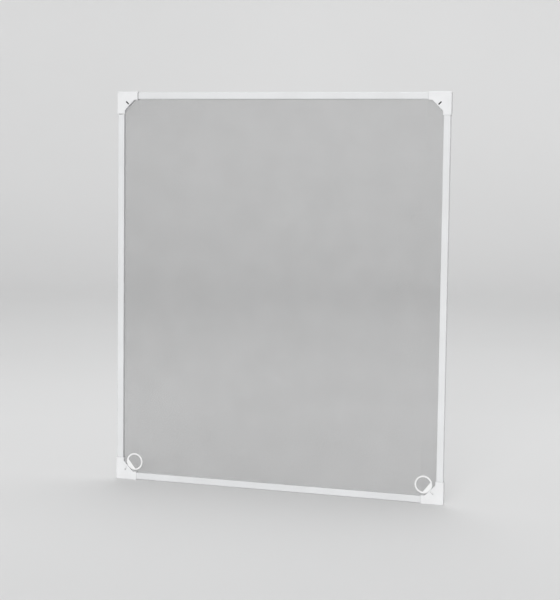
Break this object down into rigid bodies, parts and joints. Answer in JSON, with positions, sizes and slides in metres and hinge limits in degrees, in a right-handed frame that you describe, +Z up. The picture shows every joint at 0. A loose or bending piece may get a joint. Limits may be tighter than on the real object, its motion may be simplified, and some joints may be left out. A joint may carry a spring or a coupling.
{
  "type": "window insect screen",
  "caption": "White framed insect screen for a window, with moulded corners, grey netting and pull rings at the lower corners",
  "frame": {"origin": "under the middle of the lower edge, halfway through the thickness", "axes": "+X to the right seen from the front, +Y to the rear where it meets the window, +Z up"},
  "size_m": [0.768, 0.0104, 0.882],
  "materials": {
    "white_rail": "satin white",
    "white_moulding": "fine moulded white",
    "white_ring": "glossy white",
    "netting": "grey coated glass fibre, see-through",
    "spline_rubber": "ribbed grey",
    "magnet_strip": "matte dark brown"
  },
  "bodies": {
    "root": {"top_rail": "white_rail", "top_spline": "spline_rubber", "top_magnet": "magnet_strip", "bottom_rail": "white_rail", "bottom_spline": "spline_rubber", "bottom_magnet": "magnet_strip", "left_rail": "white_rail", "left_spline": "spline_rubber", "left_magnet": "magnet_strip", "right_rail": "white_rail", "right_spline": "spline_rubber", "right_magnet": "magnet_strip", "upper_left_corner": "white_moulding", "upper_right_corner": "white_moulding", "lower_left_corner": "white_moulding", "lower_right_corner": "white_moulding", "lower_left_pull_ring": "white_ring", "lower_right_pull_ring": "white_ring", "insect_mesh": "netting"}
  },
  "joints": []
}
